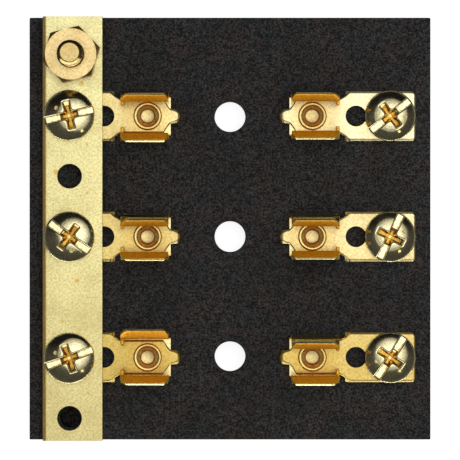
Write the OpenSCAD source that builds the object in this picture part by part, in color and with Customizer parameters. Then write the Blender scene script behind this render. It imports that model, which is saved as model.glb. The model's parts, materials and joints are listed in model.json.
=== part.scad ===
// Fuse terminal block: a black fibre board with rows of spring clips for glass fuses.
// X runs across the rows, from the bus bar side to the wire side, Y runs along the rows and Z is up.
// The origin is the middle of the board's back face. All sizes are in millimetres.

/* [Fuse] */
// Diameter of the fuse that the clips hold
fuse_d = 6.35; // [5:0.05:8]
// Length of the fuse that the clips hold
fuse_l = 31.8; // [26:0.1:40]
// Gap between each end of the fuse and its end stop
fuse_play = 0.7; // [0.2:0.1:1.5]

/* [Rows] */
// Number of fuse rows
row_count = 3; // [2:1:6]
// Distance from one row to the next
row_pitch = 19.05; // [16:0.05:26]

/* [Board] */
// Thickness of the board
board_t = 4.8; // [4:0.1:8]
// Distance from the terminal screws to the board's long edges
board_margin = 6.5; // [5.5:0.1:12]
// Diameter of the mounting holes
mount_hole_d = 4.9; // [3:0.1:8]
// Diameter of the blind pilot holes under the free holes at the bar's plain end
pilot_d = 3.3; // [2:0.1:3.8]
// Thickness of board left under a pilot hole
pilot_floor = 1.4; // [0.8:0.1:2]

/* [Bus bar] */
// Width of the bus bar
bus_w = 9.4; // [8.5:0.1:10.5]
// Thickness of the bus bar
bus_t = 1.6; // [1:0.1:3]
// Radius on the upper outer edge of the bus bar
bus_edge_r = 0.6; // [0.2:0.1:0.9]
// Distance from the line of holes to the middle of the bus bar, towards the fuses
bus_offset = 0.45; // [0:0.05:0.8]
// Diameter of the free holes in the bus bar
free_hole_d = 3.9; // [2.5:0.1:5]
// Distance from the last free hole to the plain end of the bar
free_hole_edge = 3.55; // [3:0.05:8]
// Distance from the feed stud to the other end of the bar
stud_edge = 6.1; // [5:0.1:12]
// Distance from the line of holes to the feed stud, towards the fuses
stud_offset = 0.35; // [0:0.05:0.6]

/* [Terminal strip] */
// Thickness of the terminal strip
strip_t = 0.8; // [0.5:0.05:1.1]
// Width of the strip where it passes between the jaws
neck_w = 5.46; // [4.6:0.02:5.6]
// Length of the neck between the jaws and the terminal plate
neck_l = 1.05; // [0.8:0.05:3]
// Width of the terminal plate over its bent rim
plate_w = 7.94; // [7.4:0.02:10]
// Length of the terminal plate
plate_l = 11.25; // [10.6:0.05:15]
// Distance from the plate's inner end to the screw
screw_inset = 7.1; // [6.5:0.05:7.2]
// Distance from the plate's inner end to the wire hole
wire_hole_inset = 1.75; // [1.5:0.05:2.2]
// Diameter of the wire hole
wire_hole_d = 3.3; // [2:0.1:3.8]
// Radius on the bent edges of the plate
rim_r = 0.6; // [0.2:0.05:0.8]
// Radius of the plate's outer corners, seen from above
plate_corner_r = 0.9; // [0.6:0.05:1.5]
// Distance from the rivet to the bent tip of the tongue
tongue_l = 5.3; // [5:0.1:7]
// Width of the tongue at its tip
tongue_w = 1.9; // [0.8:0.1:2.2]
// Width of the tongue at its root
tongue_root_w = 2.1; // [1.8:0.1:3.6]
// Outer diameter of the drawn collar that carries the screw thread
collar_d = 5.6; // [5.2:0.1:6]
// Length of the drawn collar below the strip
collar_l = 1.5; // [1:0.1:2.5]

/* [Fuse clip] */
// Thickness of the spring sheet
clip_t = 0.5; // [0.3:0.05:0.7]
// Room between each side of the fuse and the upright part of its jaw
jaw_room = 0.125; // [0.05:0.025:0.4]
// How far the throat of each jaw closes in over the side of the fuse
throat_bite = 1; // [0.9:0.05:1.1]
// How far the tip of each lip stands out past the side of the fuse
lip_out = 0.2; // [0:0.05:0.6]
// Inner radius of the folds between base and jaws
fold_r = 0.5; // [0.4:0.05:0.5]
// Middle radius of the shoulder that turns each jaw inwards
shoulder_r = 1.4; // [1:0.1:1.5]
// Middle radius of the throat
throat_r = 0.6; // [0.5:0.05:0.7]
// Angle that a shoulder turns through
shoulder_turn = 40; // [36:1:46]
// Angle of a lip from upright
lip_turn = 34; // [30:1:50]
// Distance from the rivet to the inner ends of the jaws
jaw_in = 3.2; // [2.6:0.05:3.6]
// Distance from the rivet to the outer ends of the jaws
jaw_out = 4.1; // [3.7:0.05:5]
// How far the base and its folds run on past the inner ends of the jaws
base_past = 0.45; // [0.2:0.05:1.2]
// Gap between the two end stops
stop_gap = 3.1; // [2.5:0.1:4.2]
// Height of the end stops
stop_h = 3.1; // [2:0.1:3.4]
// How far the end stops reach above the middle of the fuse
stop_above = 0.9; // [0.4:0.1:1]
// Length of the corner cut at the inner end of a lip
lip_cut_in = 0.5; // [0.2:0.05:1]
// Length of the corner cut at the outer end of a lip
lip_cut_out = 1.2; // [0.4:0.05:1.6]
// Height of the corner cuts of a lip
lip_cut_h = 1.1; // [0.5:0.05:1.2]
// Outward lean of the upper jaws on the bus side, row by row
bus_upper_lean = [-1.5, -5, 9]; // [-9:0.5:9]
// Outward lean of the lower jaws on the bus side, row by row
bus_lower_lean = [6, 1.5, 3.5]; // [-9:0.5:9]
// Outward lean of the upper jaws on the wire side, row by row
wire_upper_lean = [-1, -5, -5.5]; // [-9:0.5:9]
// Outward lean of the lower jaws on the wire side, row by row
wire_lower_lean = [3, 0, 4]; // [-9:0.5:9]

/* [Rivet] */
// Diameter of the rivet shank
rivet_d = 3.1; // [2.6:0.1:3.4]
// Diameter of the rolled end of the rivet
roll_d = 4.5; // [4.2:0.1:5]
// Height of the rolled end above the strip
roll_h = 0.65; // [0.4:0.05:0.9]
// Diameter of the hollow in the rivet's rolled end
hollow_d = 2.4; // [1.6:0.1:2.5]
// Depth of the hollow below the strip's top face
hollow_l = 0.9; // [0.5:0.1:2]
// Depth of the pointed bottom of the hollow
hollow_point = 0.2; // [0.1:0.1:0.8]
// Diameter of the rivet head
rivet_head_d = 5.6; // [4.6:0.1:6.2]
// Thickness of the rivet head
rivet_head_h = 1; // [0.6:0.1:1.6]

/* [Terminal screw] */
// Thread diameter of the terminal screws
screw_d = 4; // [3.4:0.1:4.2]
// Length of a terminal screw under its head
screw_l = 5; // [4.6:0.1:5]
// Chamfer on the tip of a terminal screw
screw_chamfer = 0.4; // [0.2:0.05:0.8]
// Diameter of the screw head
head_d = 8; // [6.5:0.1:9]
// Height of the screw head
head_h = 2.6; // [2.4:0.1:3.4]
// Height of the upright edge of the screw head
head_edge = 1.5; // [0.8:0.1:1.8]
// Width of the slot
slot_w = 1.25; // [0.8:0.05:1.6]
// Depth of the slot
slot_depth = 1.3; // [0.6:0.05:1.8]
// Overall width of the cross recess at the top of the head
cross_w = 4.6; // [3.6:0.1:5.2]
// Width of one wing of the cross recess
wing_w = 1.1; // [0.8:0.05:1.5]
// Depth of the cross recess
cross_depth = 2; // [1.4:0.1:2.2]
// Angle of the ends of the wings from upright
wing_slope = 36; // [20:1:38]
// Turn of the slots on the bus side, row by row
bus_slot_turn = [13, -36, 20]; // [-90:1:90]
// Turn of the slots on the wire side, row by row
wire_slot_turn = [38, 64, 56]; // [-90:1:90]

/* [Feed stud] */
// Thread diameter of the feed stud
stud_d = 4; // [3:0.1:5]
// Height of the feed stud above its nut
stud_past = 4; // [1.5:0.1:8]
// Width of the stud's hexagonal head across its flats
stud_head_af = 7; // [6:0.1:8]
// Thickness of the stud's head
stud_head_h = 2.4; // [1.6:0.1:2.8]
// Chamfer on the end of the stud
stud_chamfer = 0.45; // [0.2:0.05:0.8]
// Width of the feed nut across its flats
nut_af = 8; // [6.5:0.1:8.4]
// Thickness of the feed nut
nut_h = 3.2; // [2:0.1:5]
// Angle of the chamfer on the nut's corners
nut_chamfer = 30; // [15:1:40]
// Depth of the countersink in the nut's bore
nut_sink = 0.3; // [0.1:0.05:0.6]
// Turn of the feed nut
nut_turn = 14; // [0:1:59]
// Outer diameter of the spacer between board and bus bar
spacer_d = 8; // [6.5:0.1:9]

/* [Fits] */
// Radial clearance of a thread in the hole that it turns in
thread_gap = 0.05; // [0.02:0.01:0.1]
// Radial clearance of a fixed piece in its hole
hole_gap = 0.1; // [0.05:0.05:0.2]
// Radial clearance of the screws in the bus bar
bus_screw_gap = 0.2; // [0.1:0.05:0.4]
// Radial clearance of the collars in the board
collar_gap = 0.3; // [0.1:0.05:0.4]
// Depth of the heads below the back face of the board
back_recess = 0.3; // [0.1:0.05:0.5]
// Gap between the fuse and the rolled end of a rivet
seat_gap = 0.1; // [0.05:0.05:0.5]

/* [Hidden] */
$fn = 64;
board_black = "#292827";
bar_brass = "#e0cf90";
strip_brass = "#dcc787";
spring_brass = "#c9993a";
rivet_brass = "#c9a24e";
screw_brass = "#d8bd6a";
nut_brass = "#dcbf72";
bus_side = -1;
wire_side = 1;
overcut = 1;
overlap = 0.1;
bend_step = 10;
hex_sides = 6;
// Heights above the board's top face
strip_top = clip_t + strip_t;
bus_top = strip_top + bus_t;
fuse_axis_z = strip_top + roll_h + seat_gap + fuse_d / 2;
// Middle line of a jaw
fold_mid_r = fold_r + clip_t / 2;
jaw_gap = fuse_d + 2 * jaw_room;
jaw_mid = (jaw_gap + clip_t) / 2;
flat_half = jaw_mid - fold_mid_r;
fold_z = clip_t / 2 + fold_mid_r;
throat_mid = fuse_d / 2 - throat_bite + clip_t / 2;
lip_mid = fuse_d / 2 + lip_out;
shoulder_in = (shoulder_r + throat_r) * (1 - cos(shoulder_turn));
shoulder_run = (jaw_mid - throat_mid - shoulder_in) / sin(shoulder_turn);
lip_run = (lip_mid - throat_mid - throat_r * (1 - cos(lip_turn))) / sin(lip_turn);
side_h = fuse_axis_z - fold_z;
throat_z = fuse_axis_z + (shoulder_r + throat_r) * sin(shoulder_turn) + shoulder_run * cos(shoulder_turn);
lip_z = throat_z + throat_r * sin(lip_turn) + lip_run * cos(lip_turn);
// Places along a strip, measured outwards from its rivet
plate_in = jaw_out + neck_l;
plate_out = plate_in + plate_l;
screw_reach = plate_in + screw_inset;
wire_hole_reach = plate_in + wire_hole_inset;
stop_in = jaw_out - clip_t;
base_in = jaw_in + base_past;
// Places on the board
rivet_x = fuse_l / 2 + fuse_play - stop_in;
screw_x = rivet_x + screw_reach;
board_w = 2 * (screw_x + board_margin);
board_l = row_count * row_pitch + stud_edge + free_hole_edge;
function row_y(i) = board_l / 2 - stud_edge - row_pitch * (i + 0.5);
stud_x = stud_offset - screw_x;
stud_y = row_y(-0.5);
free_hole_rows = [0 : 2 : row_count - 1];
function free_hole_y(i) = row_y(i + 0.5);
pilot_y = free_hole_y(2 * floor((row_count - 1) / 2));
// Rows past the listed ones repeat the list
function for_row(list, i) = list[i % len(list)];
kinds = ["terminal", "clip", "rivet", "screw"];

// Stations [x, y, heading] along the middle of a bent sheet.
// Each step runs straight, then turns on a radius.
function bend_line(steps, last_run, at, i = 0) =
    i == len(steps)
    ? [at, [at[0] + last_run * cos(at[2]), at[1] + last_run * sin(at[2]), at[2]]]
    : let (run = steps[i][0], turn = steps[i][1], r = sign(turn) * steps[i][2])
      let (a = at[2], n = ceil(abs(turn) / bend_step))
      let (x = at[0] + run * cos(a), y = at[1] + run * sin(a))
      let (arc = [for (k = [0 : n]) let (b = a + turn * k / n)
          [x + r * (sin(b) - sin(a)), y + r * (cos(a) - cos(b)), b]])
      concat([at], [for (k = [0 : n - 1]) arc[k]], bend_line(steps, last_run, arc[n], i + 1));

// A sheet of thickness t along the stations.
module bent_sheet(stations, t) {
    last = len(stations) - 1;
    left = [for (p = stations) [p[0] - t / 2 * sin(p[2]), p[1] + t / 2 * cos(p[2])]];
    right = [for (p = stations) [p[0] + t / 2 * sin(p[2]), p[1] - t / 2 * cos(p[2])]];
    polygon(concat(left, [for (k = [last : -1 : 0]) right[k]]));
}

// Extrudes a section drawn across a strip (x across, y up) along the strip, from one place to another.
module along_strip(from, to) {
    translate([from, 0, 0]) rotate([90, 0, 90]) linear_extrude(to - from) children();
}

// Extrudes a section drawn along a strip (x along, y up) across the strip.
module across_strip(width) {
    translate([0, width / 2, 0]) rotate([90, 0, 0]) linear_extrude(width) children();
}

// Puts a piece of one way on the board's top face: its own +X points outwards from the rivet.
module at_way(side, i) {
    translate([side * rivet_x, row_y(i), board_t]) rotate(side == bus_side ? 180 : 0) children();
}

module hexagon_prism(across_flats, height) {
    cylinder(d = across_flats / cos(180 / hex_sides), h = height, $fn = hex_sides);
}

module base_board() {
    color(board_black) difference() {
        translate([-board_w / 2, -board_l / 2, 0]) cube([board_w, board_l, board_t]);
        for (i = [0 : row_count - 1]) {
            translate([0, row_y(i), -overcut]) cylinder(d = mount_hole_d, h = board_t + 2 * overcut);
            for (side = [bus_side, wire_side]) {
                translate([side * rivet_x, row_y(i), -overcut]) {
                    cylinder(d = rivet_d + 2 * hole_gap, h = board_t + 2 * overcut);
                    cylinder(d = rivet_head_d + 2 * hole_gap, h = overcut + back_recess + rivet_head_h);
                }
                translate([side * screw_x, row_y(i), -overcut])
                    cylinder(d = collar_d + 2 * collar_gap, h = board_t + 2 * overcut);
            }
        }
        translate([stud_x, stud_y, -overcut]) {
            cylinder(d = stud_d + 2 * hole_gap, h = board_t + 2 * overcut);
            hexagon_prism(stud_head_af + 2 * hole_gap, overcut + back_recess + stud_head_h);
        }
        translate([-screw_x, pilot_y, pilot_floor]) cylinder(d = pilot_d, h = board_t);
    }
}

// Section of the bus bar, with its upper outer edge rounded.
module bar_section() {
    square([bus_w, bus_t - bus_edge_r]);
    translate([bus_edge_r, 0]) square([bus_w - bus_edge_r, bus_t]);
    translate([bus_edge_r, bus_t - bus_edge_r]) circle(r = bus_edge_r);
}

module bus_bar() {
    color(bar_brass) difference() {
        translate([bus_offset - screw_x - bus_w / 2, board_l / 2, board_t + strip_top])
            rotate([90, 0, 0]) linear_extrude(board_l) bar_section();
        translate([-screw_x, 0, board_t + strip_top - overcut]) {
            for (i = [0 : row_count - 1])
                translate([0, row_y(i), 0])
                    cylinder(d = screw_d + 2 * bus_screw_gap, h = bus_t + 2 * overcut);
            for (i = free_hole_rows)
                translate([0, free_hole_y(i), 0]) cylinder(d = free_hole_d, h = bus_t + 2 * overcut);
            translate([stud_offset, stud_y, 0])
                cylinder(d = stud_d + 2 * hole_gap, h = bus_t + 2 * overcut);
        }
    }
}

module feed_stud() {
    shank_l = board_t + bus_top + nut_h + stud_past - stud_chamfer - back_recess;
    tip_r = stud_d / 2 - stud_chamfer;
    color(screw_brass) translate([stud_x, stud_y, back_recess]) {
        hexagon_prism(stud_head_af, stud_head_h);
        cylinder(d = stud_d, h = shank_l);
        translate([0, 0, shank_l]) cylinder(r1 = stud_d / 2, r2 = tip_r, h = stud_chamfer);
    }
}

module stud_spacer() {
    color(nut_brass) translate([stud_x, stud_y, board_t]) difference() {
        cylinder(d = spacer_d, h = strip_top);
        translate([0, 0, -overcut]) cylinder(d = stud_d + 2 * hole_gap, h = strip_top + 2 * overcut);
    }
}

module feed_nut() {
    corner_r = nut_af / 2 / cos(180 / hex_sides);
    chamfer_h = (corner_r - nut_af / 2) * tan(nut_chamfer);
    bore_r = stud_d / 2 + thread_gap;
    color(nut_brass) translate([stud_x, stud_y, board_t + bus_top]) rotate(nut_turn) difference() {
        intersection() {
            hexagon_prism(nut_af, nut_h);
            union() {
                cylinder(r = corner_r + overlap, h = nut_h - chamfer_h);
                translate([0, 0, nut_h - chamfer_h])
                    cylinder(r1 = corner_r, r2 = nut_af / 2, h = chamfer_h);
            }
        }
        translate([0, 0, -overcut]) cylinder(r = bore_r, h = nut_h + 2 * overcut);
        translate([0, 0, nut_h - nut_sink])
            cylinder(r1 = bore_r, r2 = bore_r + 2 * nut_sink, h = 2 * nut_sink);
    }
}

// Outline of the strip from its tongue to the shoulders of the plate.
module strip_outline() {
    root = base_in + overlap;
    flare = (neck_w - tongue_root_w) / 2;
    shoulder = plate_w / 2 - rim_r / 2;
    half = [
        [-tongue_l, tongue_w / 2],
        [-root, tongue_root_w / 2],
        [flare - root, neck_w / 2],
        [jaw_out, neck_w / 2],
        [plate_in + overlap, shoulder],
        [plate_in + strip_t, shoulder]
    ];
    last = len(half) - 1;
    polygon(concat(half, [for (k = [last : -1 : 0]) [half[k][0], -half[k][1]]]));
}

// Side view of the strip from its bent tip to the plate.
module strip_side() {
    translate([-tongue_l + strip_t, clip_t]) square([tongue_l + plate_in, strip_t]);
    translate([-tongue_l + strip_t, clip_t]) circle(r = strip_t);
    translate([-tongue_l, 0]) square([strip_t, clip_t + overlap]);
}

// A bar section with its two upper corners rounded.
module round_top(width, height, r) {
    translate([-width / 2, 0]) square([width, height - r]);
    translate([-width / 2 + r, 0]) square([width - 2 * r, height]);
    for (s = [-1, 1]) translate([s * (width / 2 - r), height - r]) circle(r = r);
}

// Side view of the plate, with its outer upper corner rounded.
module plate_side() {
    translate([plate_in, 0]) square([plate_l, strip_top - rim_r]);
    translate([plate_in, 0]) square([plate_l - rim_r, strip_top]);
    translate([plate_out - rim_r, strip_top - rim_r]) circle(r = rim_r);
}

// Plan of the plate, with rounded corners.
module plate_plan() {
    translate([plate_in + rim_r, -plate_w / 2]) square([plate_l - rim_r - plate_corner_r, plate_w]);
    translate([plate_in, -plate_w / 2 + rim_r]) square([2 * rim_r, plate_w - 2 * rim_r]);
    translate([plate_in, -plate_w / 2 + plate_corner_r]) square([plate_l, plate_w - 2 * plate_corner_r]);
    for (s = [-1, 1]) {
        translate([plate_in + rim_r, s * (plate_w / 2 - rim_r)]) circle(r = rim_r);
        translate([plate_out - plate_corner_r, s * (plate_w / 2 - plate_corner_r)])
            circle(r = plate_corner_r);
    }
}

module terminal() {
    color(strip_brass) difference() {
        union() {
            intersection() {
                linear_extrude(strip_top) strip_outline();
                across_strip(plate_w) strip_side();
            }
            difference() {
                intersection() {
                    along_strip(plate_in, plate_out) round_top(plate_w, strip_top, rim_r);
                    across_strip(plate_w) plate_side();
                    linear_extrude(strip_top) plate_plan();
                }
                translate([plate_in - overcut, strip_t - plate_w / 2, -overcut])
                    cube([plate_l + overcut - strip_t, plate_w - 2 * strip_t, overcut + clip_t]);
            }
            translate([screw_reach, 0, clip_t - collar_l])
                cylinder(d = collar_d, h = collar_l + strip_t / 2);
        }
        translate([screw_reach, 0, clip_t - collar_l - overcut])
            cylinder(d = screw_d + 2 * thread_gap, h = collar_l + strip_t + 2 * overcut);
        translate([wire_hole_reach, 0, -overcut]) cylinder(d = wire_hole_d, h = strip_top + 2 * overcut);
        translate([0, 0, -overcut]) cylinder(d = rivet_d + 2 * hole_gap, h = strip_top + 2 * overcut);
    }
}

// Half of the clip's section, from the middle of its base up one jaw.
module jaw_section(lean) {
    steps = [
        [flat_half + overlap, 90 - lean, fold_mid_r],
        [side_h, shoulder_turn, shoulder_r],
        [shoulder_run, -shoulder_turn - lip_turn, throat_r]
    ];
    bent_sheet(bend_line(steps, lip_run, [-overlap, clip_t / 2, 0]), clip_t);
}

// The foot of one jaw, from the middle of the base to the top of its fold.
module fold_section(lean) {
    steps = [[flat_half + overlap, 90 - lean, fold_mid_r]];
    bent_sheet(bend_line(steps, overlap, [-overlap, clip_t / 2, 0]), clip_t);
}

// One end stop, turned in from the jaw.
module stop_section(lean) {
    top = fuse_axis_z + stop_above;
    translate([flat_half, fold_z]) rotate(-lean) translate([-flat_half, -fold_z])
        translate([stop_gap / 2, top - stop_h]) square([jaw_mid - stop_gap / 2, stop_h]);
}

// Side view of the corner cut from one end of a lip: dir points from that end into the lip.
module lip_cut(end, dir, length, depth) {
    rise = overcut * depth / length;
    polygon([
        [end - dir * overcut, lip_z - depth - rise],
        [end + dir * (length + overcut), lip_z + rise],
        [end - dir * overcut, lip_z + rise]
    ]);
}

// One jaw with its end stop and the cut corners of its lip, on the clip's +Y side.
module jaw(lean) {
    difference() {
        union() {
            along_strip(-jaw_in, jaw_out) jaw_section(lean);
            along_strip(-base_in, overlap - jaw_in) fold_section(lean);
            along_strip(stop_in, jaw_out) stop_section(lean);
        }
        translate([0, flat_half, fold_z]) rotate([-lean, 0, 0]) translate([0, lip_mid - flat_half, -fold_z])
            across_strip(2 * lip_mid) {
                lip_cut(-jaw_in, 1, lip_cut_in, lip_cut_h);
                lip_cut(jaw_out, -1, lip_cut_out, lip_cut_h);
            }
    }
}

module clip(lean_plus, lean_minus) {
    color(spring_brass) difference() {
        union() {
            jaw(lean_plus);
            mirror([0, 1, 0]) jaw(lean_minus);
        }
        translate([0, 0, -overcut]) cylinder(d = rivet_d + 2 * hole_gap, h = clip_t + 2 * overcut);
    }
}

module rivet() {
    roll_r = roll_h / 2;
    shank_foot = back_recess - board_t;
    color(rivet_brass) difference() {
        union() {
            translate([0, 0, shank_foot]) cylinder(d = rivet_head_d, h = rivet_head_h);
            translate([0, 0, shank_foot]) cylinder(d = rivet_d, h = strip_top + roll_r - shank_foot);
            rotate_extrude() {
                translate([0, strip_top]) square([roll_d / 2 - roll_r, roll_h]);
                translate([roll_d / 2 - roll_r, strip_top + roll_r]) circle(r = roll_r);
            }
        }
        translate([0, 0, strip_top - hollow_l]) cylinder(d = hollow_d, h = hollow_l + roll_h + overcut);
        translate([0, 0, strip_top - hollow_l - hollow_point])
            cylinder(d1 = 0, d2 = hollow_d, h = hollow_point);
        translate([0, 0, strip_top + roll_r])
            cylinder(d1 = hollow_d, d2 = roll_d - roll_h, h = roll_r + overlap);
    }
}

// A wing of the cross recess, tapered towards its bottom.
module cross_wing() {
    foot = cross_w / 2 - cross_depth * tan(wing_slope);
    translate([0, wing_w / 2, head_h]) rotate([90, 0, 0]) linear_extrude(wing_w)
        polygon([[-cross_w / 2, overlap], [cross_w / 2, overlap], [cross_w / 2, 0], [foot, -cross_depth],
            [-foot, -cross_depth], [-cross_w / 2, 0]]);
}

// A pan head screw standing on the face that it clamps, with its slot along X.
module screw() {
    dome_h = head_h - head_edge;
    dome_r = (pow(head_d / 2, 2) + pow(dome_h, 2)) / (2 * dome_h);
    color(screw_brass) difference() {
        union() {
            intersection() {
                cylinder(d = head_d, h = head_h);
                translate([0, 0, head_h - dome_r]) sphere(r = dome_r);
            }
            translate([0, 0, -screw_l]) {
                cylinder(d1 = screw_d - 2 * screw_chamfer, d2 = screw_d, h = screw_chamfer);
                translate([0, 0, screw_chamfer])
                    cylinder(d = screw_d, h = screw_l - screw_chamfer + overlap);
            }
        }
        translate([-head_d, -slot_w / 2, head_h - slot_depth])
            cube([2 * head_d, slot_w, slot_depth + overcut]);
        cross_wing();
        rotate(90) cross_wing();
    }
}

module screw_at(side, i, seat, turn) {
    translate([side * screw_x, row_y(i), board_t + seat]) rotate(turn) screw();
}

base_board();
bus_bar();
feed_stud();
stud_spacer();
feed_nut();
for (i = [0 : row_count - 1]) {
    at_way(bus_side, i) terminal();
    at_way(wire_side, i) terminal();
    at_way(bus_side, i) clip(for_row(bus_lower_lean, i), for_row(bus_upper_lean, i));
    at_way(wire_side, i) clip(for_row(wire_upper_lean, i), for_row(wire_lower_lean, i));
    at_way(bus_side, i) rivet();
    at_way(wire_side, i) rivet();
    screw_at(bus_side, i, bus_top, for_row(bus_slot_turn, i));
    screw_at(wire_side, i, strip_top, for_row(wire_slot_turn, i));
}
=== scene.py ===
import json
import math

import bpy
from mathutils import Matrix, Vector


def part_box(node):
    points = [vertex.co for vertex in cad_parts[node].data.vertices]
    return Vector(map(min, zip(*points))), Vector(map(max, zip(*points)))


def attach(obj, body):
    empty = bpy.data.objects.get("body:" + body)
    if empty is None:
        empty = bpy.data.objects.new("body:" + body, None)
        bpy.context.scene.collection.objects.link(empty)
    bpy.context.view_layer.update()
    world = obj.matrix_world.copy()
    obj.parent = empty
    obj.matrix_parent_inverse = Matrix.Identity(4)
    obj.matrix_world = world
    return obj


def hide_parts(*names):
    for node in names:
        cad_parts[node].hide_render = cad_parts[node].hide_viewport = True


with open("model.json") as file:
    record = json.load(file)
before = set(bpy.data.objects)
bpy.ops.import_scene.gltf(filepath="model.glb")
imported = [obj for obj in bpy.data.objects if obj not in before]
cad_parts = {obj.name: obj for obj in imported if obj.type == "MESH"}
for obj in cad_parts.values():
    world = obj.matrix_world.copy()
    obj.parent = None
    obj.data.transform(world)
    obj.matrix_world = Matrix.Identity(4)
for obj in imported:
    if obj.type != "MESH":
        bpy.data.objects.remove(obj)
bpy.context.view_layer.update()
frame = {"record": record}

# Base board
# One sheet of black vulcanised fibre, sawn to size. It is drilled through for three mounting screws and for
# the tapped collars, and counterbored from the back for the rivet heads and the stud's head.
MM = 0.001
SMALL = 0.01 * MM
OVERCUT = 1 * MM
SIDES = ("bus", "wire")
ROWS = (1, 2, 3)
ROUND = 64
SHARP = 40
HEX_CORNER = 1 / math.cos(math.radians(30))
QUARTER_TURN = math.radians(90)
board_low, board_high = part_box("base_board")
board_top = board_high.z
mounts = {mount["name"]: mount for mount in frame["record"]["mounts"]}


def middle(node):
    """The middle of a node's box."""
    low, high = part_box(node)
    return (low + high) / 2


def let_go():
    """Deselects every piece."""
    bpy.ops.object.select_all(action="DESELECT")


def take(piece):
    """Makes one piece the only selected and active one."""
    let_go()
    piece.select_set(True)
    bpy.context.view_layer.objects.active = piece


def edit_all():
    """Opens the active piece for editing with all of it selected."""
    bpy.ops.object.mode_set(mode="EDIT")
    bpy.ops.mesh.select_all(action="SELECT")


def end_edit():
    """Turns all faces of the open piece outwards, and ends its editing."""
    bpy.ops.mesh.select_all(action="SELECT")
    bpy.ops.mesh.normals_make_consistent(inside=False)
    bpy.ops.object.mode_set(mode="OBJECT")


def named(name):
    """Names the piece that was just added, and puts its place in its mesh."""
    bpy.ops.object.transform_apply()
    piece = bpy.context.object
    piece.name = name
    return piece


def block(name, low, high):
    """A rectangular block between two corners."""
    let_go()
    low, high = Vector(low), Vector(high)
    bpy.ops.mesh.primitive_cube_add(size=1, location=(low + high) / 2, scale=high - low)
    return named(name)


def turned(name, profile, at=(0, 0, 0), sides=ROUND, twist=0):
    """Turns (radius, height) pairs round an upright axis, as on a lathe, with both ends closed."""
    let_go()
    radius, height = profile[0]
    bpy.ops.mesh.primitive_circle_add(
        vertices=sides, radius=radius, fill_type="NGON",
        location=(at[0], at[1], at[2] + height), rotation=(0, 0, twist))
    piece = named(name)
    edit_all()
    for (r0, z0), (r1, z1) in zip(profile, profile[1:]):
        bpy.ops.mesh.extrude_region_move(TRANSFORM_OT_translate={"value": (0, 0, z1 - z0)})
        bpy.ops.transform.resize(value=(r1 / r0, r1 / r0, 1), center_override=(at[0], at[1], at[2] + z1))
    end_edit()
    return piece


def work(piece, kind, **settings):
    """Puts one modifier with its settings on a piece, and applies it."""
    take(piece)
    bpy.ops.object.modifier_add(type=kind)
    change = piece.modifiers[-1]
    for key, value in settings.items():
        setattr(change, key, value)
    bpy.ops.object.modifier_apply(modifier=change.name)


def cut(piece, tool, operation="DIFFERENCE"):
    """Cuts a tool's shape out of a piece, as a drill or a cutter does, and puts the tool away."""
    work(piece, "BOOLEAN", object=tool, operation=operation, solver="EXACT")
    bpy.data.objects.remove(tool)


def drill(piece, at, radius, low, high):
    """Drills a round hole between two heights."""
    cut(piece, turned("drill", [(radius, low), (radius, high)], (at[0], at[1], 0)))


def shade(piece, sharp=SHARP):
    """Shades a piece smooth, up to its sharp edges."""
    take(piece)
    bpy.ops.object.shade_smooth_by_angle(angle=math.radians(sharp))


def ease_edges(piece, width, segments=2, sharp=SHARP):
    """Rubs the sharp edges of a piece round, and shades it."""
    work(piece, "BEVEL", width=width, segments=segments, limit_method="ANGLE", angle_limit=math.radians(sharp))
    shade(piece, sharp)
    work(piece, "WEIGHTED_NORMAL", keep_sharp=True)


def fit(piece, node, body, material):
    """Puts a finished piece in the place of its node."""
    piece.data.materials.clear()
    piece.data.materials.append(material)
    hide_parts(node)
    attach(piece, body)


edge_rub = 0.16 * MM
hole_rub = 0.1 * MM
hole_sharp = 60
rivet_hole_r = 1.65 * MM
rivet_head_hole_r = 2.9 * MM
rivet_head_depth = 1.3 * MM
collar_hole_r = 3.1 * MM
stud_hole_r = 2.1 * MM
stud_pocket_r = 3.6 * MM * HEX_CORNER
stud_pocket_depth = 2.7 * MM
pilot_r = 1.65 * MM
pilot_floor = 1.4 * MM
below = board_low.z - OVERCUT
above = board_top + OVERCUT
stud_at = middle("feed_stud")
stud_axis = (stud_at.x, stud_at.y, 0)

fibre_board = block("fibre_board", board_low, board_high)
ease_edges(fibre_board, edge_rub)
for row in ROWS:
    hole = mounts[f"mounting_hole_{row}"]
    drill(fibre_board, hole["pos_m"], hole["dims"]["r_mm"] * MM, below, above)
    for side in SIDES:
        rivet_at = middle(f"{side}_rivet_{row}")
        drill(fibre_board, rivet_at, rivet_hole_r, below, above)
        drill(fibre_board, rivet_at, rivet_head_hole_r, below, board_low.z + rivet_head_depth)
        drill(fibre_board, middle(f"{side}_screw_{row}"), collar_hole_r, below, above)
drill(fibre_board, stud_at, stud_hole_r, below, above)
cut(fibre_board, turned(
    "pocket", [(stud_pocket_r, below), (stud_pocket_r, board_low.z + stud_pocket_depth)],
    stud_axis, sides=6, twist=QUARTER_TURN))
drill(fibre_board, mounts["bar_free_hole_2"]["pos_m"], pilot_r, board_low.z + pilot_floor, above)
ease_edges(fibre_board, hole_rub, segments=1, sharp=hole_sharp)


def new_material(name):
    """An empty material, with its node tree and its shader."""
    material = bpy.data.materials.new(name)
    material.use_nodes = True
    return material, material.node_tree, material.node_tree.nodes["Principled BSDF"]


def join(tree, socket, value):
    """Links a node's output to a socket, or sets the socket to a plain value."""
    if isinstance(value, bpy.types.NodeSocket):
        tree.links.new(value, socket)
    else:
        socket.default_value = value


def add_node(tree, kind, inputs=(), **settings):
    """Adds a node with its settings and inputs."""
    node = tree.nodes.new(kind)
    for key, value in settings.items():
        setattr(node, key, value)
    for key, value in dict(inputs).items():
        join(tree, node.inputs[key], value)
    return node


def ramp(tree, value, low, high, to_low=0.0, to_high=1.0):
    """Maps a stretch of a value onto another, held at its ends."""
    return add_node(tree, "ShaderNodeMapRange", {
        "Value": value, "From Min": low, "From Max": high,
        "To Min": to_low, "To Max": to_high}).outputs["Result"]


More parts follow.
